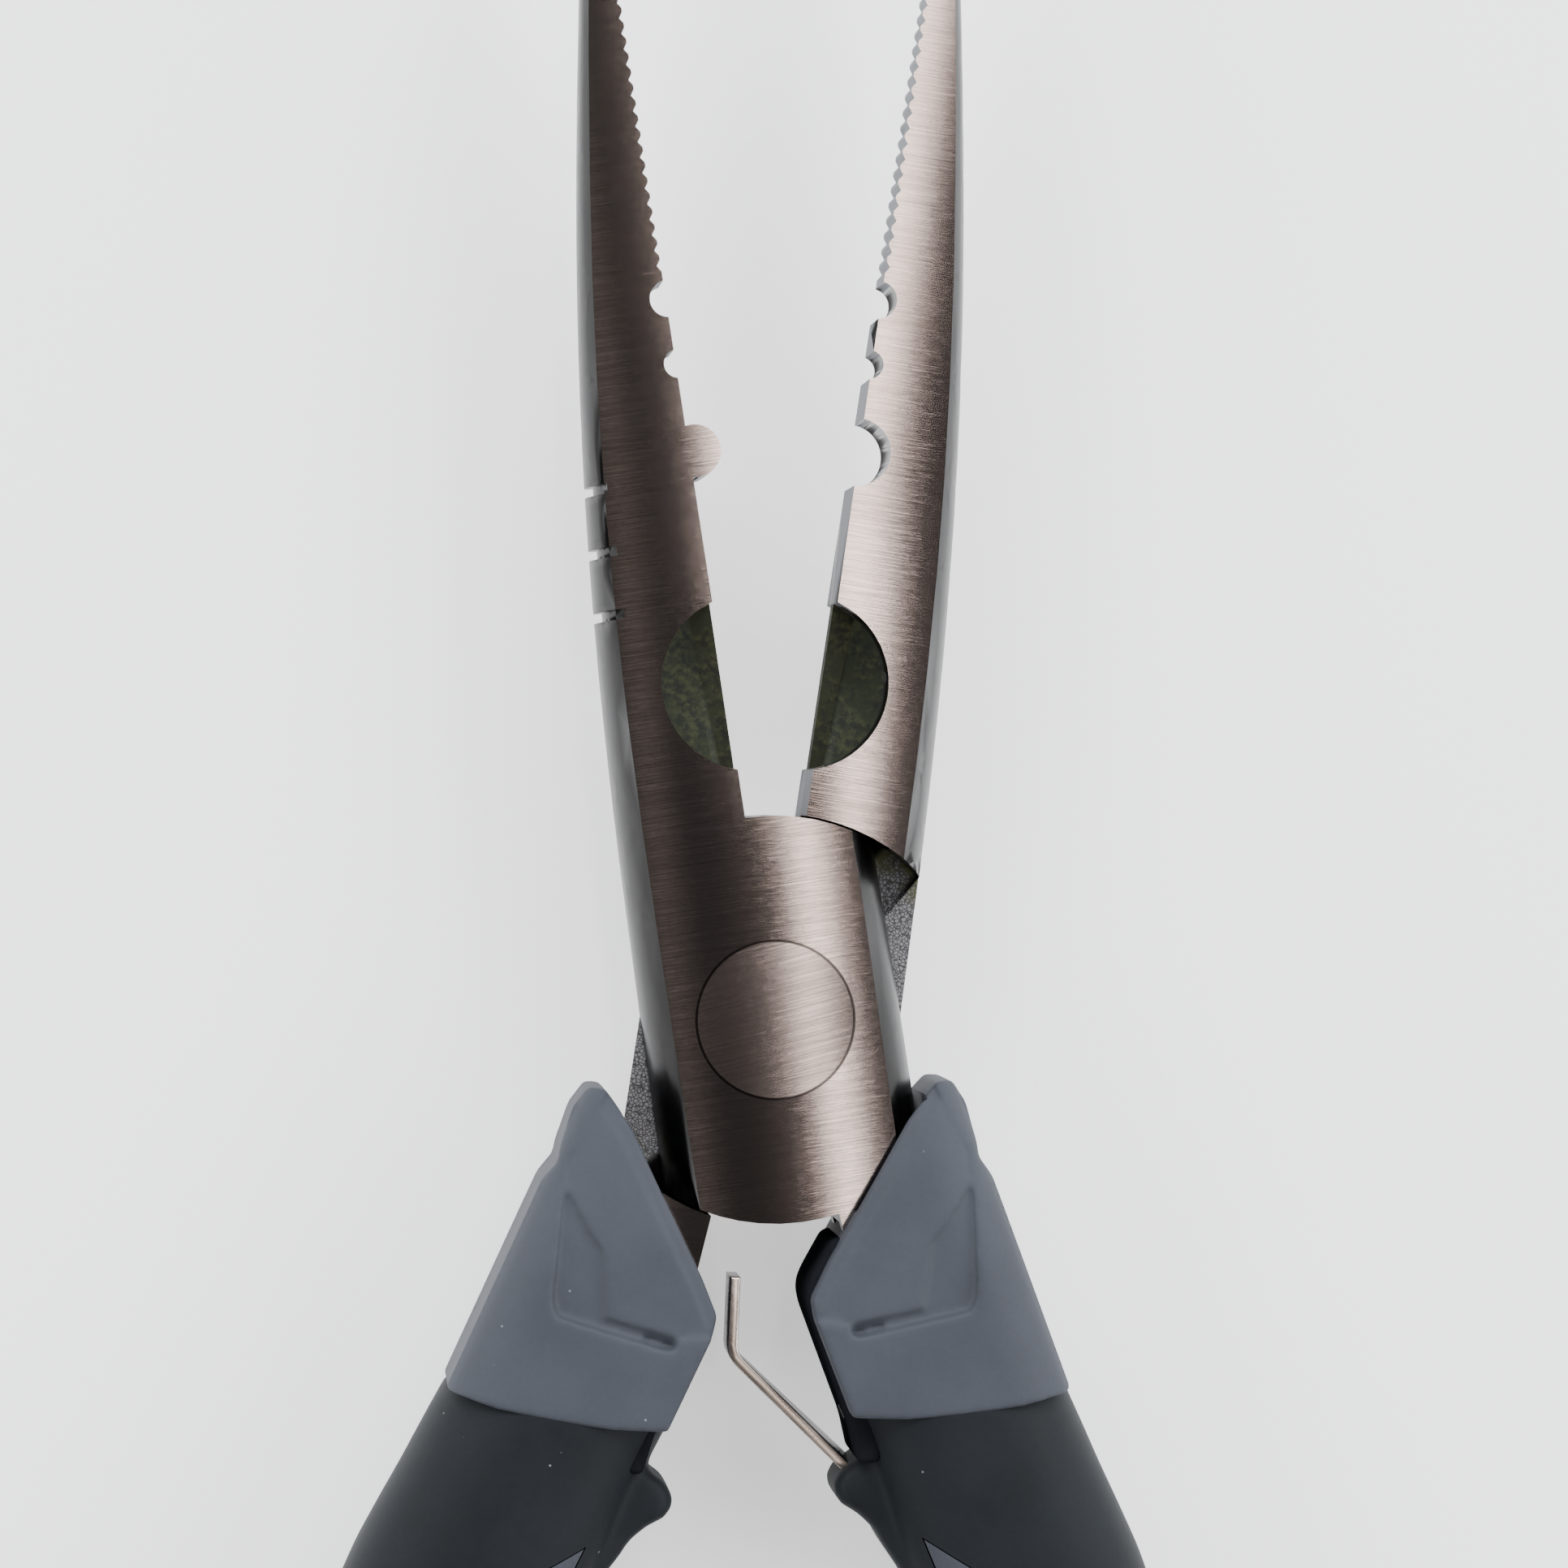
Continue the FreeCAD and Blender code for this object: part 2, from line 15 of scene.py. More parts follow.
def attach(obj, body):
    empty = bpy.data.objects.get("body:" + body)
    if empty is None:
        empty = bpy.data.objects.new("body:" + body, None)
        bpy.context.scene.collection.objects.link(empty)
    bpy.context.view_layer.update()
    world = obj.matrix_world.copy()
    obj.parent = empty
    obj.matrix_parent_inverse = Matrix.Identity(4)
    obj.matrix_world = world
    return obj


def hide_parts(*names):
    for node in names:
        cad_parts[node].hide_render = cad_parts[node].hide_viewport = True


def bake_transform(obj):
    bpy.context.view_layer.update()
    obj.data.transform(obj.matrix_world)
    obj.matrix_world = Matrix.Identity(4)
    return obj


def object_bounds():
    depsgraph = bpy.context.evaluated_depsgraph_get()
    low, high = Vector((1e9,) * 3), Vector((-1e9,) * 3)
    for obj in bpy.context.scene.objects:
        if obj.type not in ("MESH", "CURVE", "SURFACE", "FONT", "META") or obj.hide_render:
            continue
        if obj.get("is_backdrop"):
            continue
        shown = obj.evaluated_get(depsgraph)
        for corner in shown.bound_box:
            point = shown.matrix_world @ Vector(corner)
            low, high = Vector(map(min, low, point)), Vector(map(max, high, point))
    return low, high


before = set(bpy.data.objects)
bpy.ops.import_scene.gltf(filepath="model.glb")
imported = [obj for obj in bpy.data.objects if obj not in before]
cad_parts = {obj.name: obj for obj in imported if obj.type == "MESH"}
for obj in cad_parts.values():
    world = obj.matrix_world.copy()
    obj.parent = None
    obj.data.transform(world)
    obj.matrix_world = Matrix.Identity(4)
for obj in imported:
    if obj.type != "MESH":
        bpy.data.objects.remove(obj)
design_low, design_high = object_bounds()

MM = 0.001
MID_MM = 5.25
print("nodes:", ", ".join(sorted(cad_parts)))
print("design box in mm:", [round(v / MM, 1) for v in design_high - design_low])

# %% [markdown]
# ## Table
#
# The pliers lie flat on a white table, and the camera looks almost straight down at them. A plain
# plane is enough for it. Lamps alone could make it white, but lamps that strong would wash out the
# black handles. So the table also glows a little by itself, which keeps the shadows under the
# handles soft and pale.

# %% Table
TABLE_DROP = 0.02 * MM
TABLE_SIDE = 6.0
TABLE_WHITE = (0.93, 0.93, 0.93, 1)
TABLE_GLOW = 0.75

bpy.ops.object.select_all(action="DESELECT")
bpy.ops.mesh.primitive_plane_add(size=TABLE_SIDE, location=(0, 0, design_low.z - TABLE_DROP))
table = bpy.context.object
table.name = "table_top"
table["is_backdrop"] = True
table_paint = bpy.data.materials.new("pale_table")
table_paint.use_nodes = True
table_shader = table_paint.node_tree.nodes["Principled BSDF"]
table_shader.inputs["Base Color"].default_value = TABLE_WHITE
table_shader.inputs["Roughness"].default_value = 0.9
table_shader.inputs["Specular IOR Level"].default_value = 0.0
table_shader.inputs["Emission Color"].default_value = (1, 1, 1, 1)
table_shader.inputs["Emission Strength"].default_value = TABLE_GLOW
table.data.materials.append(table_paint)
print("table at z =", round(table.location.z / MM, 2), "mm")

# %% [markdown]
# ## Lamps
#
# Ground steel only shows what it reflects, so three narrow lamps are placed by the bands that they
# draw on the crowned faces. Two warm ones lean to the right: one draws the bright band across the
# joint, the other the band up the jaw. A faint one to the left draws thin lines near the left jaw's
# outer crease. Two broad cool lamps low at the sides light the table and the plastics, and a window
# beyond the jaws' tips lights what slopes that way.

# %% Lamps
LAMP_HEIGHT = 0.9
WARM = (1.0, 0.875, 0.82)
COOL = (0.93, 0.96, 1.0)
WINDOW_TILT = math.radians(-50)


def soft_lamp(name, lean, height, size, watts, tint, along=0.0):
    """A lamp of a size across and along, `lean` degrees to the side of straight above."""
    angle = math.radians(lean)
    place = Vector((math.sin(angle) * height, along, math.cos(angle) * height))
    bpy.ops.object.light_add(type="AREA", location=place)
    lamp = bpy.context.object
    lamp.name = name
    lamp.data.shape = "RECTANGLE"
    lamp.data.size, lamp.data.size_y = size
    lamp.data.energy = watts
    lamp.data.color = tint
    lamp.rotation_euler = (0, angle, 0)
    return lamp


soft_lamp("joint_band_lamp", 9.8, LAMP_HEIGHT, (0.034, 0.85), 0.76, WARM, -0.30)
soft_lamp("jaw_band_lamp", 7.0, LAMP_HEIGHT, (0.076, 0.5), 0.82, WARM, 0.34)
soft_lamp("left_line_lamp", -6.0, LAMP_HEIGHT, (0.022, 1.3), 0.035, WARM)
soft_lamp("right_table_lamp", 57, 1.0, (0.7, 1.8), 21.0, COOL)
soft_lamp("left_table_lamp", -57, 1.0, (0.7, 1.8), 15.0, COOL)
window_lamp = soft_lamp("window_lamp", 0.0, 0.75, (1.4, 0.7), 24.0, COOL, 0.9)
window_lamp.rotation_euler.x = WINDOW_TILT

# %% [markdown]
# ## Room
#
# The flats of the jaws reflect the room straight above, and their rounded outer bands reflect its
# walls. So the room is dark overhead and bright at the horizon, with a smooth fall between, which
# depends only on how high a direction points. Walls of real geometry would do it too, but they
# would throw shadows and stand in the way of other views.

# %% Room
OVERHEAD, HORIZON = 0.03, 0.6
WALL_TOP, CEILING_START = 0.10, 0.80

world = bpy.data.worlds.new("dim_room")
world.use_nodes = True
world_nodes, world_links = world.node_tree.nodes, world.node_tree.links
direction = world_nodes.new("ShaderNodeTexCoord")
parts = world_nodes.new("ShaderNodeSeparateXYZ")
fall = world_nodes.new("ShaderNodeMapRange")
fall.interpolation_type = "SMOOTHSTEP"
fall.inputs["From Min"].default_value = WALL_TOP
fall.inputs["From Max"].default_value = CEILING_START
fall.inputs["To Min"].default_value = HORIZON
fall.inputs["To Max"].default_value = OVERHEAD
world_links.new(direction.outputs["Generated"], parts.inputs[0])
world_links.new(parts.outputs["Z"], fall.inputs["Value"])
world_links.new(fall.outputs[0], world_nodes["Background"].inputs["Strength"])
world_nodes["Background"].inputs["Color"].default_value = (1, 1, 1, 1)
bpy.context.scene.world = world
print("room light:", OVERHEAD, "overhead,", HORIZON, "at the horizon")

# %% [markdown]
# ## Camera
#
# The view is almost from straight above, a few degrees from the left, through a long lens, so that
# the handles don't spread. The camera is set back from the point that it aims at, along its lean.

# %% Camera
AIM = Vector((0.97, 16.4, MID_MM)) * MM
CAMERA_LEAN = math.radians(-4.3)
CAMERA_REACH = 0.420
LENS, SENSOR = 137.0, 36.0

bpy.ops.object.camera_add()
camera = bpy.context.object
camera.name = "table_camera"
camera.location = AIM + Vector((math.sin(CAMERA_LEAN), 0, math.cos(CAMERA_LEAN))) * CAMERA_REACH
camera.rotation_euler = (0, CAMERA_LEAN, 0)
camera.data.lens = LENS
camera.data.sensor_width = SENSOR
camera.data.clip_start = 0.01
bpy.context.scene.camera = camera
print("camera at", [round(v, 3) for v in camera.location])

# %% [markdown]
# ## Shader sums
#
# A finish is a sum of masks and noises. Wiring each Math node by hand hides the sum, so a socket is
# wrapped in `Wire`, on which Python's own operators add the Math nodes.

# %% Wire
class Wire:
    """An output socket on which + - * / and ** add Math nodes."""

    def __init__(self, paint, socket):
        self.paint = paint
        self.socket = socket

    def maths(self, how, first, second=0.0):
        return self.paint.node("ShaderNodeMath", {"operation": how}, {0: first, 1: second})

    def __add__(self, other):
        return self.maths("ADD", self, other)

    def __sub__(self, other):
        return self.maths("SUBTRACT", self, other)

    def __rsub__(self, other):
        return self.maths("SUBTRACT", other, self)

    def __mul__(self, other):
        return self.maths("MULTIPLY", self, other)

    def __truediv__(self, other):
        return self.maths("DIVIDE", self, other)

    def __pow__(self, other):
        return self.maths("POWER", self, other)

    __radd__ = __add__
    __rmul__ = __mul__

    def size(self):
        """The value without its sign."""
        return self.maths("ABSOLUTE", self)

    def over(self, low, high):
        """0 below low, 1 above high, and a smooth climb between them."""
        settings = {"interpolation_type": "SMOOTHSTEP"}
        return self.paint.node("ShaderNodeMapRange", settings, {0: self, 1: low, 2: high})

    def under(self, low, high):
        """1 below low and 0 above high."""
        return 1.0 - self.over(low, high)


print("sums ready")

# %% [markdown]
# `Paint` holds one material. Its `node` method makes every other node from its type, its settings
# and its sockets, and short methods stand for the few recipes that each finish here repeats.

# %% Paint
class Paint:
    """One material built from sums."""

    def __init__(self, name):
        self.material = bpy.data.materials.new(name)
        self.material.use_nodes = True
        self.tree = self.material.node_tree
        self.shader = self.tree.nodes["Principled BSDF"]
        self.place = self.node("ShaderNodeTexCoord", {}, {}, "Object")

    def node(self, kind, settings, sockets, output=0):
        """Make a node: settings first, then each socket's value or link; give back one output."""
        made = self.tree.nodes.new(kind)
        for name, setting in settings.items():
            setattr(made, name, setting)
        for key, given in sockets.items():
            if isinstance(given, Wire):
                self.tree.links.new(given.socket, made.inputs[key])
            else:
                made.inputs[key].default_value = given
        return Wire(self, made.outputs[output])

    def axes(self, vector):
        """The three parts of a vector."""
        parts = self.node("ShaderNodeSeparateXYZ", {}, {0: vector})
        owner = parts.socket.node
        return [Wire(self, owner.outputs[index]) for index in range(3)]

    def upright(self):
        """1 where the surface faces straight up or down, 0 where it is a wall."""
        normal = self.node("ShaderNodeNewGeometry", {}, {}, "Normal")
        return self.axes(normal)[2].size()

    def turned(self, degrees, stretch=(1, 1, 1)):
        """Object coordinates turned about Z, then stretched."""
        turn = (0, 0, math.radians(degrees))
        spun = self.node("ShaderNodeMapping", {}, {"Vector": self.place, "Rotation": turn})
        return self.node("ShaderNodeMapping", {}, {"Vector": spun, "Scale": stretch})

    def noise(self, vector, scale, detail=2.0, rough=0.5):
        """Fractal noise, about 0 to 1."""
        sockets = {"Vector": vector, "Scale": scale, "Detail": detail, "Roughness": rough}
        return self.node("ShaderNodeTexNoise", {}, sockets)

    def cells(self, scale, feature="F1"):
        """Voronoi cells: the distance to a cell's middle or to its edge."""
        sockets = {"Vector": self.place, "Scale": scale}
        return self.node("ShaderNodeTexVoronoi", {"feature": feature}, sockets)

    def blend(self, share, first, second):
        """A colour between two colours."""
        return self.node("ShaderNodeMix", {"data_type": "RGBA"}, {0: share, 6: first, 7: second}, 2)

    def shade(self, **sockets):
        """Feed the shader: a capitalised socket name with underscores for spaces."""
        for name, given in sockets.items():
            socket = self.shader.inputs[name.replace("_", " ")]
            if isinstance(given, Wire):
                self.tree.links.new(given.socket, socket)
            else:
                socket.default_value = given
        return self

    def bump(self, height, strength, distance):
        """Raise the surface by a height map."""
        sockets = {"Strength": strength, "Distance": distance, "Height": height}
        return self.shade(Normal=self.node("ShaderNodeBump", {}, sockets))


def rgb(red, green, blue):
    """A colour with full cover."""
    return (red, green, blue, 1.0)


print("paints ready")

# %% [markdown]
# ## Brushed steel
#
# The members are forged, blackened and then brushed across the jaws, so their faces carry short
# strokes from side to side. A noise squeezed along the jaw and stretched across it gives those
# strokes to the bump, the colour and the gloss. The rounded outer bands are only polished, the
# milled cutter reliefs keep an olive, grainy skin, and the lap floors are etched and dark. First
# come the colours of each skin.

# %% Steel colours
BRUSHED_DARK = rgb(0.27, 0.238, 0.228)
BRUSHED_PALE = rgb(0.60, 0.53, 0.505)
BRUSHED_BROWN = rgb(0.33, 0.27, 0.23)
BAND_DARK = rgb(0.018, 0.0175, 0.017)
BAND_PALE = rgb(0.026, 0.0255, 0.025)
GRIPPING_GREY = rgb(0.10, 0.108, 0.12)
OLIVE_DARK = rgb(0.005, 0.006, 0.003)
OLIVE_PALE = rgb(0.030, 0.034, 0.011)
OLIVE_MOTTLE = rgb(0.011, 0.014, 0.004)
ETCHED_DARK = rgb(0.05, 0.049, 0.05)
ETCHED_PALE = rgb(0.24, 0.24, 0.25)
ETCHED_OLIVE = rgb(0.095, 0.10, 0.035)
PIT_BROWN = rgb(0.05, 0.045, 0.045)
SEAM_BLACK = rgb(0.02, 0.018, 0.018)
print("steel faces reflect from", BRUSHED_DARK[:3], "to", BRUSHED_PALE[:3])

# %% [markdown]
# Each skin is found from the place in the member's own closed frame and from the surface's
# direction, so one finish serves a whole forging. Painting vertex groups by hand would do it too,
# but a mask from places is sharp on a mesh whose triangles are large.

# %% Steel zones
HALF_OPEN = 8.5
RELIEF_OUT, RELIEF_UP, RELIEF_RADIUS = 1.7, 23.5, 6.05
LAP_RADIUS = 14.3
RIVET_RADIUS = 5.5


def steel_zones(paint, turn, side):
    """Masks of the brushed faces, cutter relief, lap floor, gripping face, lap rim and seam."""
    x, y, z = [part / MM for part in paint.axes(paint.turned(-turn))]
    upright = paint.upright()
    depth = (z - MID_MM).size()
    from_pivot = (x ** 2.0 + y ** 2.0) ** 0.5
    from_relief = ((x + side * RELIEF_OUT) ** 2.0 + (y - RELIEF_UP) ** 2.0) ** 0.5
    face = upright.over(0.975, 0.99)
    relief = from_relief.under(RELIEF_RADIUS, RELIEF_RADIUS + 0.15) * depth.under(2.6, 3.0)
    on_lap_plane = depth.under(0.25, 0.4) * upright.over(0.8, 0.9)
    lap = on_lap_plane * from_pivot.under(LAP_RADIUS, LAP_RADIUS + 0.2)
    gripping = x.size().under(0.45, 0.6) * upright.under(0.3, 0.5)
    lap_rim = from_pivot.over(LAP_RADIUS - 2.2, LAP_RADIUS - 0.2)
    seam = (from_pivot - RIVET_RADIUS).size().under(0.04, 0.13) * face
    return face, relief, lap, gripping, lap_rim, seam


print("lap discs have a radius of", LAP_RADIUS, "mm and the rivet", RIVET_RADIUS, "mm")

# %% [markdown]
# The finish lays the skins over one another, from the polished band up to the dark seam round the
# rivet. The brushed faces are the glossiest, and the relief and lap floor the roughest. Metallic
# falls where a skin is oxide and not bare metal.

# %% Steel finish
def steel(name, turn, side, dull=0.0):
    """Brushed steel for a member turned by `turn` degrees, whose jaw lies on `side` of the middle;
    `dull` is added to its roughness."""
    paint = Paint(name)
    face, relief, lap, gripping, lap_rim, seam = steel_zones(paint, turn, side)
    across, narrow = paint.turned(-turn, (0.13, 11.0, 1.0)), paint.turned(-turn, (0.08, 9.0, 1.0))
    strokes = paint.noise(across, scale=900.0, detail=3.0, rough=0.62)
    fine = paint.noise(narrow, scale=2600.0, detail=2.0, rough=0.6)
    patches = paint.noise(paint.place, scale=160.0, detail=3.0, rough=0.55)
    mottle = paint.noise(paint.place, scale=420.0, detail=4.0, rough=0.65)
    grain = paint.noise(paint.place, scale=1700.0, detail=4.0, rough=0.7)
    pits = paint.noise(paint.place, scale=5200.0).over(0.66, 0.74)
    etched = paint.cells(4200.0, "DISTANCE_TO_EDGE").over(0.02, 0.2)

    tone = (strokes * 0.55 + fine * 0.45).over(0.25, 0.78)
    brushed = paint.blend(tone, BRUSHED_DARK, BRUSHED_PALE)
    brushed = paint.blend(patches.over(0.3, 0.75) * 0.25, brushed, BRUSHED_BROWN)
    olive = paint.blend(grain.over(0.38, 0.66), OLIVE_DARK, OLIVE_PALE)
    olive = paint.blend(mottle.over(0.45, 0.65), olive, OLIVE_MOTTLE)
    floor = paint.blend(etched, ETCHED_DARK, ETCHED_PALE)
    floor = paint.blend(lap_rim * mottle.over(0.35, 0.6), floor, ETCHED_OLIVE)
    colour = paint.blend(face, paint.blend(patches, BAND_DARK, BAND_PALE), brushed)
    colour = paint.blend(gripping, colour, GRIPPING_GREY)
    colour = paint.blend(relief, colour, olive)
    colour = paint.blend(lap, colour, floor)
    colour = paint.blend(pits * 0.35, colour, PIT_BROWN)
    colour = paint.blend(seam * 0.85, colour, SEAM_BLACK)

    rough = 0.30 + dull - face * 0.21 + (1.0 - tone) * face * 0.03
    rough = rough + patches * 0.02 + (relief + lap) * 0.34 + gripping * 0.25
    metal = 1.0 - (relief + lap) * 0.55 - gripping * 0.7
    height = strokes * face * 0.6 + fine * face * 0.4 + relief * grain * 1.6 + lap * etched * 1.2
    paint.shade(Base_Color=colour, Roughness=rough, Metallic=metal)
    paint.bump(height, strength=0.25, distance=0.02 * MM)
    print(name, "has", len(paint.tree.nodes), "nodes")
    return paint.material


front_steel = steel("front_brushed_steel", HALF_OPEN, -1)
rear_steel = steel("rear_brushed_steel", -HALF_OPEN, 1)
rivet_steel = steel("rivet_brushed_steel", 14.0, -1, dull=0.035)

# %% [markdown]
# ## Crowned faces
#
# The design's mesh is made of large loose triangles, and polished steel would show every one of
# them. A copy of each steel node is merged, and its front and rear faces are given custom normals:
# the direction that a smooth crown has at each point. On the members that direction comes from the
# crown's radius across the jaws and from the slope of their taper, eased in above the joint. The
# rivet's flush heads are given a very shallow dome of their own, which parts their highlight from
# the one around them.

# %% Crown
CROWN_RADIUS = 85.0
JAW_SLOPE = 0.06
TAPER_FROM, TAPER_FULL = 4.0, 42.0
DOME_ACROSS, DOME_ALONG, DOME_LEAN = 72.0, 220.0, 0.008


def crown_normal(point, turn, dome):
    """The direction of a smooth crown, or of the rivet's dome, at a point on a face."""
    turned = Matrix.Rotation(math.radians(-turn), 3, "Z") @ point / MM
    up = 1.0 if turned.z > MID_MM else -1.0
    share = min(1.0, max(0.0, (turned.y - TAPER_FROM) / (TAPER_FULL - TAPER_FROM)))
    slope = JAW_SLOPE * share * share * (3 - 2 * share)
    normal = Vector((turned.x / CROWN_RADIUS, slope, up))
    if dome:
        normal = Vector((turned.x / DOME_ACROSS + DOME_LEAN, turned.y / DOME_ALONG, up))
    return (Matrix.Rotation(math.radians(turn), 3, "Z") @ normal).normalized()


print("the crown leans", round(math.degrees(9.0 / CROWN_RADIUS), 1), "degrees 9 mm from the middle")

# %% [markdown]
# The custom normals go on after the merge, and only on faces that point straight up or down and lie
# away from the lap plane. Everywhere else the mesh keeps the directions that smooth shading by
# angle gives it.

# %% Steel copies
MERGE_GAP = 0.002 * MM
STEEL_CORNER = math.radians(24)
FACE_UPRIGHT, FACE_DEPTH = 0.985, 1.25


def ground_copy(node, name, body, turn, material, dome=False):
    """A merged copy of a steel node whose faces carry the directions of a smooth crown."""
    piece = bpy.data.objects.new(name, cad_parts[node].data.copy())
    bpy.context.scene.collection.objects.link(piece)
    bpy.ops.object.select_all(action="DESELECT")
    piece.select_set(True)
    bpy.context.view_layer.objects.active = piece
    bpy.ops.object.mode_set(mode="EDIT")
    bpy.ops.mesh.select_all(action="SELECT")
    bpy.ops.mesh.remove_doubles(threshold=MERGE_GAP)
    bpy.ops.object.mode_set(mode="OBJECT")
    bpy.ops.object.shade_smooth_by_angle(angle=STEEL_CORNER)
    mesh = piece.data
    directions = [corner.vector.copy() for corner in mesh.corner_normals]
    for polygon in mesh.polygons:
        outside = abs(polygon.center.z / MM - MID_MM) > FACE_DEPTH
        if abs(polygon.normal.z) > FACE_UPRIGHT and outside:
            for loop in polygon.loop_indices:
                point = mesh.vertices[mesh.loops[loop].vertex_index].co
                directions[loop] = crown_normal(point, turn, dome)
    mesh.normals_split_custom_set(directions)
    mesh.materials.clear()
    mesh.materials.append(material)
    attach(piece, body)
    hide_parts(node)
    print(name, "has", len(mesh.polygons), "faces")
    return piece


ground_copy("front_half", "front_steel", "front_member", HALF_OPEN, front_steel)
ground_copy("rear_half", "rear_steel", "rear_member", -HALF_OPEN, rear_steel)
ground_copy("pivot_rivet", "flush_rivet", "front_member", HALF_OPEN, rivet_steel, dome=True)

# %% [markdown]
# ## The handle frame
#
# Both handles come from one mould form, mirrored. Each piece is modelled once for the closed right
# handle, in millimetres across and along from the pivot, and then put in place: mirrored for the
# left hand, slid along the tang to where that moulding sits, and turned about the pivot. The first
# helpers draw a flat plate from its outline and bevel the edges that a rule picks out.

# %% Plates
def only(piece):
    """Select one piece and make it the active one."""
    bpy.ops.object.select_all(action="DESELECT")
    piece.select_set(True)
    bpy.context.view_layer.objects.active = piece
    return piece


def plate(name, corners, low, high):
    """A flat plate: an n-sided disc whose corners are set out, then extruded upwards."""
    bpy.ops.object.select_all(action="DESELECT")
    bpy.ops.mesh.primitive_circle_add(vertices=len(corners), radius=0.01, fill_type="NGON")
    piece = bpy.context.object
    piece.name = name
    for vertex, (x, y) in zip(piece.data.vertices, corners):
        vertex.co = Vector((x, y, low)) * MM
    bpy.ops.object.mode_set(mode="EDIT")
    bpy.ops.mesh.select_all(action="SELECT")
    bpy.ops.mesh.extrude_region_move(TRANSFORM_OT_translate={"value": (0, 0, (high - low) * MM)})
    bpy.ops.mesh.select_all(action="SELECT")
    bpy.ops.mesh.normals_make_consistent(inside=False)
    bpy.ops.object.mode_set(mode="OBJECT")
    return piece


def level(first, second):
    """True for an edge that runs along a face, and not up the side."""
    return abs(first.z - second.z) < 0.01


def soften(piece, width, segments, wanted):
    """Bevel the edges whose two ends, in millimetres, satisfy `wanted`."""
    only(piece)
    mesh = piece.data
    bpy.ops.object.mode_set(mode="EDIT")
    bpy.ops.mesh.select_all(action="DESELECT")
    bpy.ops.object.mode_set(mode="OBJECT")
    for edge in mesh.edges:
        first, second = (mesh.vertices[index].co / MM for index in edge.vertices)
        edge.select = wanted(first, second)
    bpy.ops.object.mode_set(mode="EDIT")
    bpy.ops.mesh.select_mode(type="EDGE")
    bpy.ops.mesh.bevel(offset=width * MM, segments=segments, affect="EDGES", clamp_overlap=True)
    bpy.ops.object.mode_set(mode="OBJECT")
    return piece


print("plates ready")

# %% [markdown]
# Hard plates become soft mouldings in three steps: they are cut and joined with booleans, remeshed
# finely so that every point has near neighbours, and relaxed, which rounds each crease a little.

# %% Cutting and moulding
def modify(piece, kind, **settings):
    """Add a modifier and apply it at once."""
    only(piece)
    modifier = piece.modifiers.new(kind.lower(), kind)
    for name, setting in settings.items():
        setattr(modifier, name, setting)
    bpy.ops.object.modifier_apply(modifier=modifier.name)
    return piece


def carve(piece, tool, how="DIFFERENCE"):
    """Cut one piece with another, join them or keep what they share, and remove the tool."""
    modify(piece, "BOOLEAN", operation=how, object=tool, solver="EXACT")
    bpy.data.objects.remove(tool)
    return piece


def moulded(piece, voxel, passes):
    """Turn hard joined forms into one soft moulding: remesh finely, then relax."""
    modify(piece, "REMESH", mode="VOXEL", voxel_size=voxel * MM, use_smooth_shade=True)
    modify(piece, "SMOOTH", factor=0.5, iterations=passes)
    return piece


print("cutting and moulding ready")

# %% [markdown]
# A finished piece keeps its object at the origin, with its place in its mesh. So a piece is mirrored
# and turned by moving its points, and the mirrored one has its faces flipped back outwards.

# %% Placing and finishing
HANDLE_SKEW = 2.3
TURN = {"right": HALF_OPEN - HANDLE_SKEW, "left": -HALF_OPEN - HANDLE_SKEW}
SLIDE = {"right": 0.0, "left": -1.4}
MEMBER = {"right": "front_member", "left": "rear_member"}
MOULDED_CORNER = math.radians(38)


def twin(piece, name):
    """A copy with its own mesh."""
    copy = piece.copy()
    copy.data = piece.data.copy()
    copy.name = name
    bpy.context.scene.collection.objects.link(copy)
    return copy


def to_hand(piece, hand):
    """Bring a piece from the closed right-hand frame to its place at rest."""
    only(piece)
    flip = Matrix.Diagonal((-1, 1, 1, 1)) if hand == "left" else Matrix.Identity(4)
    slide = Matrix.Translation((0, SLIDE[hand] * MM, 0))
    piece.data.transform(Matrix.Rotation(math.radians(TURN[hand]), 4, "Z") @ slide @ flip)
    if hand == "left":
        piece.data.flip_normals()
    return piece


def finish_piece(piece, hand, material, node):
    """Shade, paint, ride on the member and stand for the design's node."""
    only(piece)
    bpy.ops.object.shade_smooth_by_angle(angle=MOULDED_CORNER)
    piece.data.materials.clear()
    piece.data.materials.append(material)
    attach(piece, MEMBER[hand])
    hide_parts(node)
    print(piece.name, "has", len(piece.data.polygons), "faces")
    return piece


print("handles turn by", TURN, "degrees from closed to rest")

# %% [markdown]
# ## Moulded finishes
#
# The collars and inlays are slate grey soft plastic with a fine matt spark texture. The grips are
# black rubber-like plastic: darker, with faint mottling and a few specks of dust. The sleeves are
# the dullest. All three get their tooth from a small bump, and clouds in the colour keep them from
# looking flat.

# %% Plastics
DUST_GREY = rgb(0.30, 0.33, 0.34)


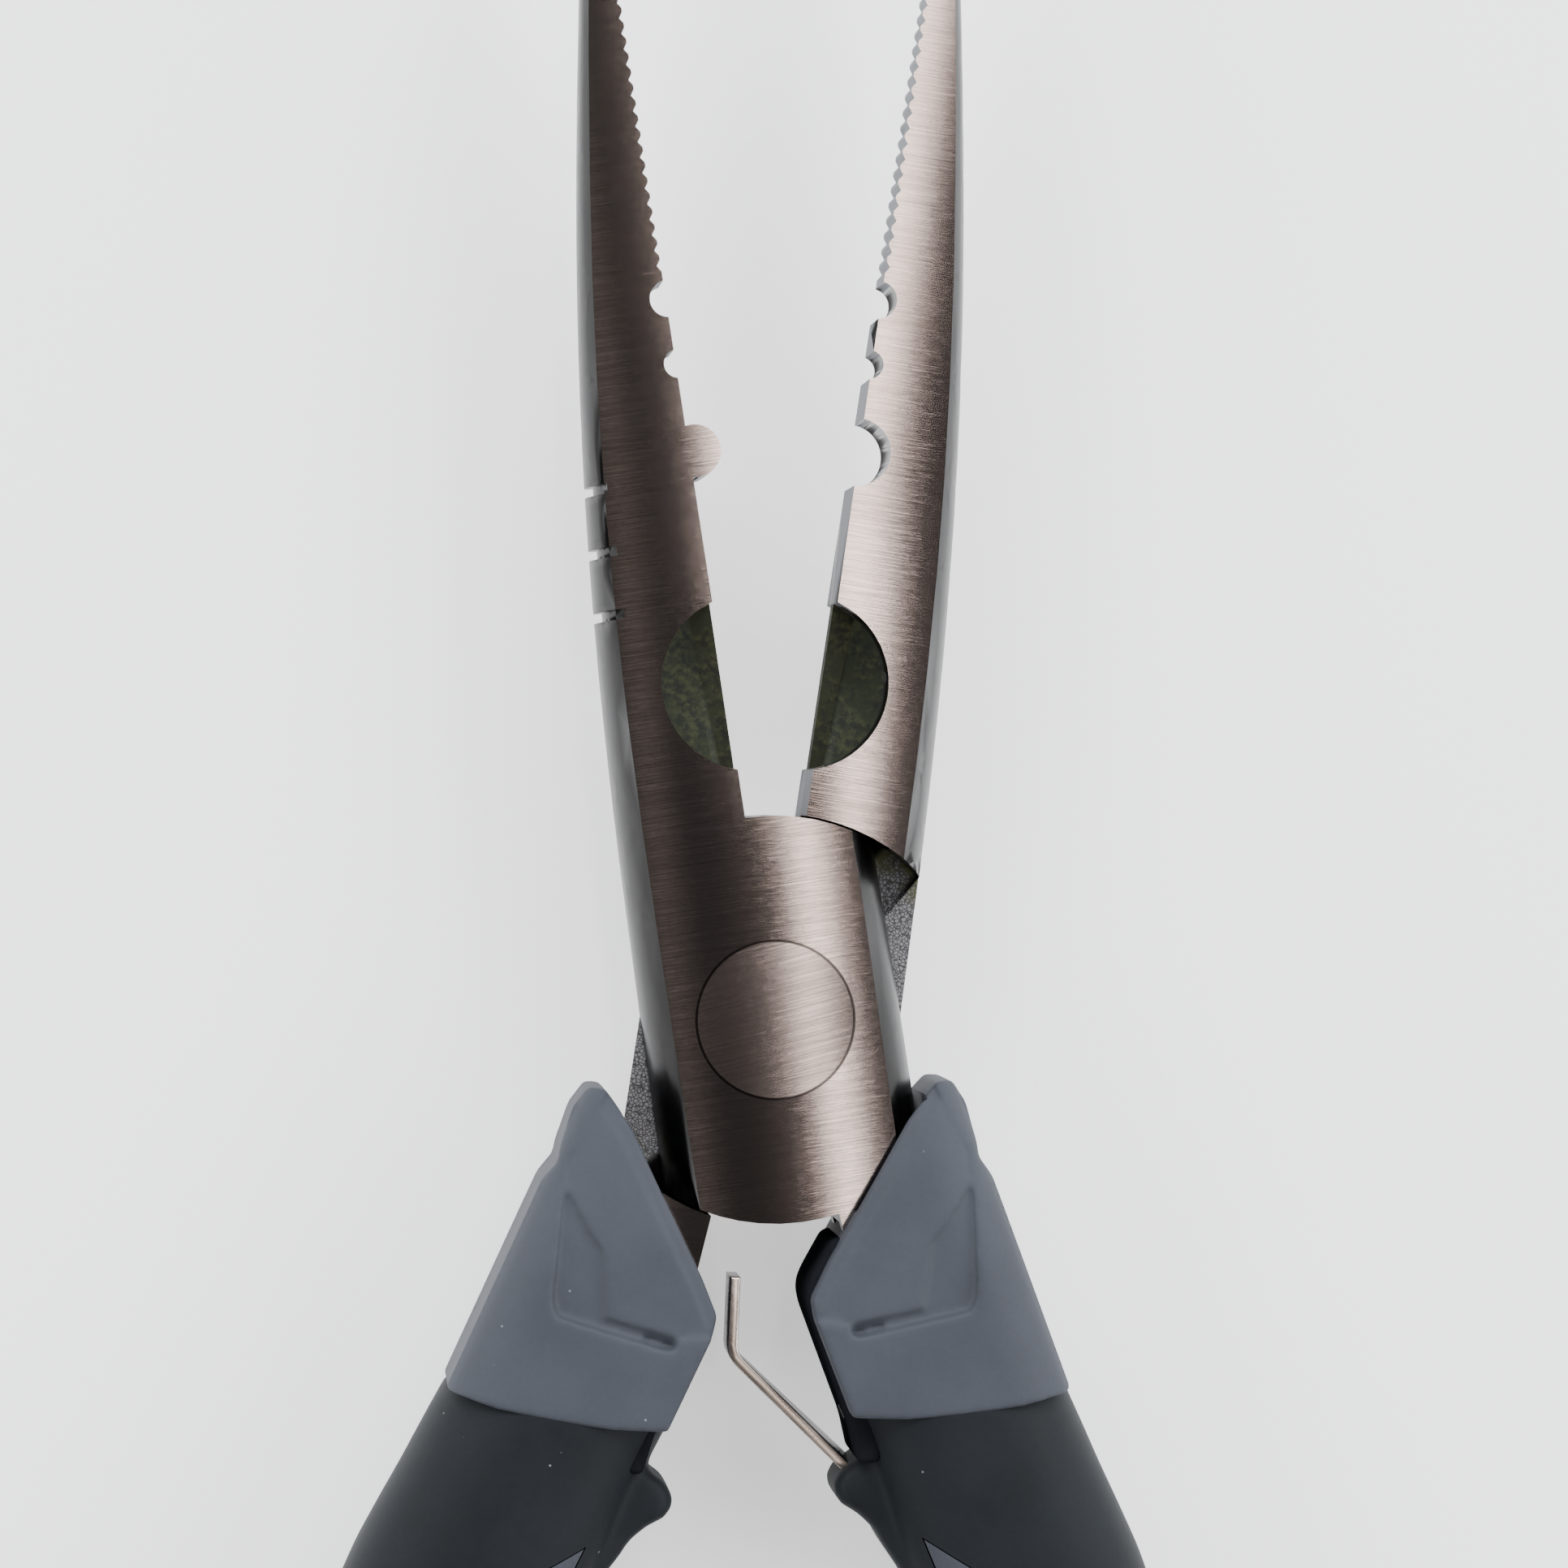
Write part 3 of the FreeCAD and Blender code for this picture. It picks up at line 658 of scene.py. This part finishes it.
def moulded_plastic(name, dark, light, grain_scale, rough, specks, gloss):
    """Matt moulded plastic with a spark-eroded grain, cloudy patches and dust specks."""
    paint = Paint(name)
    grain = paint.noise(paint.place, grain_scale, detail=3.0, rough=0.6)
    cloud = paint.noise(paint.place, scale=130.0, detail=3.0, rough=0.55).over(0.3, 0.7)
    dusty = paint.noise(paint.place, scale=170.0).over(0.56, 0.62)
    dust = paint.cells(640.0).under(0.035, 0.06) * dusty
    colour = paint.blend(cloud * 0.5 + grain * 0.5, dark, light)
    colour = paint.blend(dust * specks, colour, DUST_GREY)
    paint.shade(Base_Color=colour, Roughness=rough + cloud * 0.06, Specular_IOR_Level=gloss)
    paint.bump(grain + dust * 1.2, strength=0.3, distance=0.035 * MM)
    return paint.material


SLATE = moulded_plastic("slate_soft_plastic", rgb(0.038, 0.041, 0.050), rgb(0.051, 0.055, 0.066),
                        grain_scale=2600.0, rough=0.56, specks=0.5, gloss=0.14)
BLACK = moulded_plastic("black_soft_plastic", rgb(0.0045, 0.006, 0.0075), rgb(0.009, 0.011, 0.0135),
                        grain_scale=2100.0, rough=0.60, specks=0.5, gloss=0.16)
SLEEVE = moulded_plastic("black_hard_plastic", rgb(0.006, 0.0065, 0.008), rgb(0.011, 0.012, 0.014),
                         grain_scale=1700.0, rough=0.80, specks=0.1, gloss=0.0)
print("plastics:", SLATE.name, BLACK.name, SLEEVE.name)

# %% [markdown]
# ## Collars
#
# A collar is the slip guard moulded over the shank: an ear beside the joint, a long slanted upper
# edge down to the guard corner, and a raised band at the bottom. It is cut from a plate, because
# its outline matters most. Both faces have a sunk panel with a ridge swelling in it and a short
# slot below the ridge. `both_faces` gives the heights for such a feature on the front and the rear.

# %% Collar outlines
COLLAR_LOW, COLLAR_HIGH = -2.6, 13.1
COLLAR_OUTLINE = [(9.9, -6.3), (10.8, -5.45), (11.9, -5.6), (12.7, -7.2), (13.1, -10.1),
                  (13.05, -11.0), (13.9, -12.4), (17.75, -27.9), (14.2, -28.4), (10.0, -28.6),
                  (5.8, -28.4), (2.2, -27.9), (0.35, -20.9), (0.25, -19.5), (1.75, -17.1),
                  (5.55, -11.9), (8.4, -7.9)]
PANEL = [(12.5, -10.6), (11.75, -20.3), (11.2, -21.45), (3.4, -22.35), (2.75, -22.2),
         (2.75, -21.5), (-3.0, -20.0), (3.0, -8.0), (9.0, -2.0)]
SWELL = [(11.9, -7.0), (12.15, -12.6), (10.3, -14.9), (8.85, -16.5), (8.0, -20.0), (7.9, -20.9),
         (3.2, -21.3), (-3.0, -20.0), (3.0, -8.0), (9.0, -2.0)]
SLOT = [(2.75, -21.75), (5.2, -21.5), (5.2, -22.0), (2.85, -22.3)]
PANEL_DEPTH, SWELL_RISE, SLOT_DEPTH, SWELL_ROOT = 0.62, 0.34, 0.3, 2.5
SWELL_INSET = (0.55, -0.9)


def both_faces(deep, proud):
    """The heights of a plate from `deep` below to `proud` above each face of the collar."""
    return ((COLLAR_HIGH - deep, COLLAR_HIGH + proud), (COLLAR_LOW - proud, COLLAR_LOW + deep))


print("a collar is", round(COLLAR_HIGH - COLLAR_LOW, 1), "mm thick before it is rolled")

# %% [markdown]
# The upper edge is bevelled while the collar is still a plate. The large roll down the outer side
# comes after the remesh, because a bevel that wide would run into the panel. There, every point is
# drawn towards the middle plane by an amount that depends on its distance from the outer side.

# %% Collar edges
OUTER_CORNER = (17.75, -27.9)
OUTER_WAY = (-3.85, 15.5)
BEVEL_RUN, BEVEL_RISE, BEVEL_BACK, BEVEL_LOWEST = 20.0, 14.0, 60, -20.2
ROLL_WIDTH, ROLL_DEPTH, ROLL_START = 4.2, 3.0, 0.1
EAR_FROM, EAR_LENGTH, EAR_DROP = 10.5, 12.0, 1.7


def upper_edge(first, second):
    """True for the edges of both faces that run round the ear and down the slanted side."""
    middle = (first + second) / 2
    across = (middle.x - OUTER_CORNER[0]) * BEVEL_RUN
    along = (middle.y - OUTER_CORNER[1]) * BEVEL_RISE
    return level(first, second) and across < along - BEVEL_BACK and middle.y > BEVEL_LOWEST


def rolled(piece):
    """Draw both faces in towards the middle plane: a quarter round down the outer side and a
    slope towards the tip of the ear."""
    corner, along = Vector(OUTER_CORNER), Vector(OUTER_WAY).normalized()
    half = (COLLAR_HIGH - COLLAR_LOW) / 2
    for vertex in piece.data.vertices:
        offset = Vector((vertex.co.x / MM, vertex.co.y / MM)) - corner
        inside = max(ROLL_START, -offset.x * along.y + offset.y * along.x)
        share = max(0.0, (ROLL_WIDTH - inside) / ROLL_WIDTH)
        drop = ROLL_DEPTH * (1 - math.sqrt(1 - share * share))
        drop += EAR_DROP * (max(0.0, offset.y - EAR_FROM) / EAR_LENGTH) ** 2
        vertex.co.z = (MID_MM + (vertex.co.z / MM - MID_MM) * (half - drop) / half) * MM
    return piece


print("outer sides roll down by", ROLL_DEPTH, "mm over", ROLL_WIDTH, "mm")

# %% [markdown]
# The steps are a mould maker's: cut the panels, bevel the upper edge, add the ridges, cut the slots,
# melt everything together and roll the outer side. A ridge is kept inside the collar's own outline,
# moved a little away from the upper edge, so that it ends before that edge.

# %% Collar form
def collar_form(name):
    """The right-hand collar in the closed handle frame."""
    form = plate(name, COLLAR_OUTLINE, COLLAR_LOW, COLLAR_HIGH)
    for low, high in both_faces(PANEL_DEPTH, 1):
        carve(form, plate("panel_cutter", PANEL, low, high))
    soften(form, 1.5, 4, upper_edge)
    inner = [(x + SWELL_INSET[0], y + SWELL_INSET[1]) for x, y in COLLAR_OUTLINE]
    for low, high in both_faces(SWELL_ROOT, SWELL_RISE - PANEL_DEPTH):
        swell = plate("swell", SWELL, low, high)
        carve(swell, plate("swell_limit", inner, low - 1, high + 1), "INTERSECT")
        carve(form, swell, "UNION")
    for low, high in both_faces(PANEL_DEPTH + SLOT_DEPTH, 1):
        carve(form, plate("slot_cutter", SLOT, low, high))
    moulded(form, voxel=0.2, passes=12)
    return rolled(form)


collar_right = collar_form("right_slip_collar")
collar_left = twin(collar_right, "left_slip_collar")
print("collar form has", len(collar_right.data.polygons), "faces")

# %% [markdown]
# The handles swing, so each moulding leaves room for the other member's half disc. The room is a
# disc a little larger than the joint's, cut off at both sides where the members' straight flanks
# are. It is drawn after the piece is at rest, because the disc belongs to the joint, not the hand.

# %% Collars in place
SWEEP_RADIUS, SWEEP_DEPTH = 14.55, 11.4
SWEEP_STRIP = [(-9.6, -20), (9.6, -20), (9.6, 20), (-9.6, 20)]


def sweep_cutter(hand):
    """The space that the other member's half disc sweeps, in the row frame."""
    bpy.ops.object.select_all(action="DESELECT")
    bpy.ops.mesh.primitive_cylinder_add(vertices=96, radius=SWEEP_RADIUS * MM,
                                        depth=SWEEP_DEPTH * MM, location=(0, 0, MID_MM * MM))
    tool = bpy.context.object
    bpy.ops.object.transform_apply(location=True, rotation=True, scale=True)
    strip = plate("sweep_strip", SWEEP_STRIP, -1, 12)
    turn = HALF_OPEN if hand == "right" else -HALF_OPEN
    strip.data.transform(Matrix.Rotation(math.radians(turn), 4, "Z"))
    return carve(tool, strip, "INTERSECT")


for hand, collar in (("right", collar_right), ("left", collar_left)):
    to_hand(collar, hand)
    carve(collar, sweep_cutter(hand))
    finish_piece(collar, hand, SLATE, f"{hand}_collar")

# %% [markdown]
# ## Sleeves
#
# Under each collar a black sleeve grips the shank. Only its inner flank shows, between the collar
# and the leaf spring, so it is a plate with the collar's inner line, standing out a hair further.
# On the left it stays back, where the spring's tip passes when the handles close.

# %% Sleeves
SLEEVE_LOW, SLEEVE_HIGH = -0.1, 10.6
SLEEVE_BACK = {"right": 0.0, "left": 0.8}
SLEEVE_OUTLINE = [(2.3, -15.6), (0.45, -18.2), (0.0, -19.2), (0.05, -20.4), (2.1, -28.6),
                  (2.4, -31.4), (4.0, -31.4), (4.4, -27.0), (8.6, -27.0), (8.6, -15.6)]

sleeve_form = plate("sleeve_form", SLEEVE_OUTLINE, SLEEVE_LOW, SLEEVE_HIGH)
soften(sleeve_form, 0.5, 3, lambda first, second: True)
for hand in ("right", "left"):
    sleeve = twin(sleeve_form, f"{hand}_black_sleeve")
    sleeve.data.transform(Matrix.Translation((SLEEVE_BACK[hand] * MM, 0, 0)))
    to_hand(sleeve, hand)
    carve(sleeve, sweep_cutter(hand))
    finish_piece(sleeve, hand, SLEEVE, f"{hand}_core")
bpy.data.objects.remove(sleeve_form)

# %% [markdown]
# ## Grips
#
# A grip is a barrel with a waist and a belly that follows the outward curve of the handle. It is
# drawn straight first: one rounded ring, extruded from station to station and resized at each. A
# station is a depth below the pivot, a width, a thickness and a shift to the side. A curve with a
# bevel could make the bend directly, but its section couldn't change its shape so freely.

# %% Grip barrel
RING_POINTS, RING_SQUARENESS = 56, 2.6
STATIONS = [(22.0, 15.0, 15.3, 0.6), (30.0, 15.3, 15.6, 0.5), (36.0, 15.9, 16.1, 0.3),
            (42.0, 16.4, 16.6, 0.4), (52.0, 15.7, 16.8, 0.6), (66.0, 16.4, 17.0, 0.2),
            (84.0, 16.6, 17.0, 0.0), (100.0, 15.8, 16.6, 0.0), (114.0, 14.8, 15.9, 0.0),
            (123.0, 14.2, 15.0, 0.0), (127.6, 12.4, 13.0, 0.0), (130.2, 8.4, 9.0, 0.0),
            (130.9, 4.0, 4.6, 0.0)]


def rounded(part):
    """Push one side of a circle's point outwards, towards a rounded square."""
    return math.copysign(abs(part) ** (2 / RING_SQUARENESS), part)


def barrel_form(name):
    """The straight barrel: a rounded ring, extruded and resized from station to station."""
    depth, width, deep, shift = STATIONS[0]
    bpy.ops.object.select_all(action="DESELECT")
    bpy.ops.mesh.primitive_circle_add(vertices=RING_POINTS, radius=1.0, fill_type="NGON")
    barrel = bpy.context.object
    barrel.name = name
    for vertex in barrel.data.vertices:
        across = shift + rounded(vertex.co.x) * width / 2
        upwards = MID_MM + rounded(vertex.co.y) * deep / 2
        vertex.co = Vector((across, -depth, upwards)) * MM
    bpy.ops.object.mode_set(mode="EDIT")
    bpy.ops.mesh.select_all(action="SELECT")
    for last, station in zip(STATIONS, STATIONS[1:]):
        depth, width, deep, shift = station
        step = ((shift - last[3]) * MM, (last[0] - depth) * MM, 0)
        centre = (shift * MM, -depth * MM, MID_MM * MM)
        growth = (width / last[1], 1, deep / last[2])
        bpy.ops.mesh.extrude_region_move(TRANSFORM_OT_translate={"value": step})
        bpy.ops.transform.resize(value=growth, center_override=centre)
    bpy.ops.mesh.select_all(action="SELECT")
    bpy.ops.mesh.normals_make_consistent(inside=False)
    bpy.ops.object.mode_set(mode="OBJECT")
    return barrel


grip_shape = barrel_form("grip_shape")
print("straight barrel has", len(grip_shape.data.polygons), "faces")

# %% [markdown]
# Soft ribs for the fingers are joined to the inner side of the straight barrel. Then the whole is
# remeshed and relaxed like a moulding, and laid along the handle's arc.

# %% Ribs and bend
ARC_RADIUS, ARC_DEPTH, HANDLE_REACH = 222.0, 98.0, 20.6
RIB_FIRST, RIB_STEP, RIB_COUNT = 43.5, 5.2, 6
RIB_RADIUS, RIB_REACH, RIB_SHAPE = 2.4, 6.25, (1, 0.72, 2.3)


def rib(depth):
    """One flattened ball, half sunk in the inner side of the barrel."""
    bpy.ops.object.select_all(action="DESELECT")
    bpy.ops.mesh.primitive_uv_sphere_add(segments=32, ring_count=16, radius=RIB_RADIUS * MM,
                                         location=Vector((-RIB_REACH, -depth, MID_MM)) * MM,
                                         scale=RIB_SHAPE)
    ball = bpy.context.object
    bpy.ops.object.transform_apply(location=True, rotation=True, scale=True)
    return ball


def laid_on_arc(piece):
    """Bend a straight bar, drawn down the Y axis, onto the handle's arc."""
    for vertex in piece.data.vertices:
        reach, depth = vertex.co.x / MM, -vertex.co.y / MM
        lean = math.asin((ARC_DEPTH - depth) / ARC_RADIUS)
        middle = HANDLE_REACH - ARC_RADIUS * (1 - math.cos(lean))
        vertex.co.x = (middle + reach * math.cos(lean)) * MM
        vertex.co.y = (reach * math.sin(lean) - depth) * MM
    return piece


for index in range(RIB_COUNT):
    carve(grip_shape, rib(RIB_FIRST + index * RIB_STEP), "UNION")
moulded(grip_shape, voxel=0.42, passes=6)
laid_on_arc(grip_shape)
print("bent grip spans", [round(v / MM, 1) for v in grip_shape.dimensions])

# %% [markdown]
# The boss that holds the spring's foot stands on the bent grip, because its outline was drawn in
# the handle's own frame. The top is cut off square where the collar begins, and a second, finer
# remesh melts the boss into the grip.

# %% Boss and top
BOSS_OUTLINE = [(7.0, -30.9), (2.8, -31.1), (1.5, -31.7), (0.75, -32.5), (0.6, -33.3),
                (1.0, -34.2), (2.1, -35.0), (3.1, -36.2), (3.6, -37.4), (5.5, -41.0), (9.0, -38.0)]
BOSS_LOW, BOSS_HIGH = 1.0, 9.5
COLLAR_ROOM = [(-5, -27.5), (30, -27.5), (30, 0), (-5, 0)]

boss = plate("spring_boss", BOSS_OUTLINE, BOSS_LOW, BOSS_HIGH)
soften(boss, 0.9, 3, level)
carve(grip_shape, boss, "UNION")
carve(grip_shape, plate("collar_room", COLLAR_ROOM, -8, 20))
moulded(grip_shape, voxel=0.36, passes=7)
print("whole grip spans", [round(v / MM, 1) for v in grip_shape.dimensions])

# %% [markdown]
# ## Inlays
#
# A grey leaf is set into the front and the rear of each grip, with its point at the top near the
# inner side. The same leaf outline cuts the pocket from the grip and, shrunk by the joint between
# the two plastics, cuts the inlay from a copy of the grip, so both share one surface.

# %% Leaf outline
LEAF_INNER = [(-5.6, 35.2), (-5.5, 44.0), (-5.3, 54.0), (-5.1, 64.0), (-4.9, 74.0), (-4.6, 84.0),
              (-4.1, 92.0), (-3.4, 99.0), (-2.3, 105.5), (-0.9, 110.6)]
LEAF_OUTER = [(0.6, 113.6), (2.2, 110.4), (3.6, 105.0), (4.7, 98.5), (5.3, 91.0), (5.7, 83.0),
              (5.9, 74.0), (6.0, 64.0), (5.9, 56.0), (5.4, 48.6)]
LEAF_FLOOR = 4.6
JOINT_GAP = 0.13
LEAF_HEIGHTS = {"front": (MID_MM + LEAF_FLOOR, 20), "rear": (-12, MID_MM - LEAF_FLOOR)}


def leaf_cutter(shrink, low, high):
    """The leaf as a plate on the handle's arc, drawn in by `shrink` on every side."""
    corners = [Vector(corner) for corner in LEAF_INNER + LEAF_OUTER]
    inset = []
    for index, corner in enumerate(corners):
        before, after = corners[index - 1], corners[(index + 1) % len(corners)]
        sides = [(corner - before).normalized(), (after - corner).normalized()]
        inward = [Vector((-side.y, side.x)) for side in sides]
        bisector = inward[0] + inward[1]
        inset.append(corner - bisector * (shrink / max(0.35, 1 + inward[0].dot(inward[1]))))
    return laid_on_arc(plate("leaf_cutter", [(reach, -depth) for reach, depth in inset], low, high))


print("leaf length:", round(LEAF_OUTER[0][1] - LEAF_INNER[0][1], 1), "mm")

# %% [markdown]
# The pocket is cut with the full leaf and the inlay with the shrunk one. Each boolean removes its
# cutter, so the leaf is drawn afresh for every cut. Both hands start from copies of one grip.

# %% Grips and inlays
for hand in ("right", "left"):
    grip = twin(grip_shape, f"{hand}_moulded_grip")
    for side, (low, high) in LEAF_HEIGHTS.items():
        inlay = twin(grip_shape, f"{hand}_{side}_leaf_inlay")
        carve(inlay, leaf_cutter(JOINT_GAP, low, high), "INTERSECT")
        carve(grip, leaf_cutter(0.0, low, high))
        to_hand(inlay, hand)
        finish_piece(inlay, hand, SLATE, f"{hand}_inlay_{side}")
    to_hand(grip, hand)
    finish_piece(grip, hand, BLACK, f"{hand}_grip")
bpy.data.objects.remove(grip_shape)

# %% [markdown]
# ## Leaf spring
#
# One strip of spring steel springs the handles apart. Its foot is held in the right grip's boss and
# its tip leans towards the left collar. The strip is a plate along a bent line: two straight runs
# and an arc between them, offset to both sides by half its thickness. The lower run is twisted a
# little, so that its face catches the light.

# %% Spring line
SPRING_FOOT, SPRING_ROOT = (7.4, -33.7), (5.6, -31.9)
SPRING_BEND, SPRING_TIP = (-2.9, -23.5), (-2.6, -18.1)
BEND_RADIUS, BEND_STEPS = 1.7, 10


def spring_line():
    """Points and directions along the middle of the strip, from its foot to its tip."""
    foot, bend, tip = Vector(SPRING_FOOT), Vector(SPRING_BEND), Vector(SPRING_TIP)
    into, out = (bend - foot).normalized(), (tip - bend).normalized()
    turn = into.angle_signed(out)
    setback = BEND_RADIUS * math.tan(abs(turn) / 2)
    points = [(foot, into)]
    start = bend - into * setback
    for step in range(BEND_STEPS + 1):
        angle = -turn * step / BEND_STEPS
        direction = Vector((into.x * math.cos(angle) - into.y * math.sin(angle),
                            into.x * math.sin(angle) + into.y * math.cos(angle)))
        if step:
            start = start + direction * (BEND_RADIUS * abs(turn) / BEND_STEPS)
        points.append((start.copy(), direction))
    points.append((tip, out))
    return points


line = spring_line()
print("spring line has", len(line), "points")

# %% [markdown]
# The two offset lines close into one outline, and a plate of it is the strip on edge. A curve with a
# flat bevel could give the same run, but the plate's edges can then be bevelled like sheared steel.

# %% Spring strip
SPRING_THICKNESS, SPRING_LOW, SPRING_HIGH = 0.7, 2.75, 7.75
TWIST, TWIST_LENGTH = Vector((0.26, 0.26, 0)), 4.0

left_side = [point + Vector((-way.y, way.x)) * SPRING_THICKNESS / 2 for point, way in line]
right_side = [point - Vector((-way.y, way.x)) * SPRING_THICKNESS / 2 for point, way in line]
spring = plate("bent_leaf_spring", left_side + right_side[::-1], SPRING_LOW, SPRING_HIGH)
soften(spring, 0.13, 2, level)
for vertex in spring.data.vertices:
    down = (SPRING_HIGH - vertex.co.z / MM) / (SPRING_HIGH - SPRING_LOW)
    along = min(1.0, max(0.0, (SPRING_BEND[1] - vertex.co.y / MM) / TWIST_LENGTH))
    vertex.co += TWIST * down * along * MM
print("leaf spring has", len(spring.data.polygons), "faces")

# %% [markdown]
# The strip's rolled faces are dark and its sheared edges are bright, so the finish depends on which
# way the surface points.

# %% Spring finish
STRIP_CORNER = math.radians(30)


def spring_steel():
    """Rolled strip: dark polished faces and ground edges that shine."""
    paint = Paint("rolled_spring_steel")
    edge = paint.upright().over(0.5, 0.9)
    streaks = paint.noise(paint.turned(45, (0.3, 3.0, 0.3)), scale=900.0)
    face = paint.blend(streaks, rgb(0.10, 0.095, 0.09), rgb(0.16, 0.15, 0.14))
    ground = paint.blend(streaks, rgb(0.72, 0.60, 0.52), rgb(0.88, 0.78, 0.70))
    colour = paint.blend(edge, face, ground)
    paint.shade(Base_Color=colour, Metallic=1.0, Roughness=0.22 + streaks * 0.12)
    return paint.material


only(spring)
bpy.ops.object.shade_smooth_by_angle(angle=STRIP_CORNER)
spring.data.materials.append(spring_steel())
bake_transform(spring)
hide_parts("leaf_spring")
print("spring finished in", spring.data.materials[0].name)

# %% [markdown]
# ## Sizes
#
# The box of the finished pieces is measured at the end, as the design's box was measured at the
# start. The finished pieces have to stay inside the design's box.

# %% Leave
low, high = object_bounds()
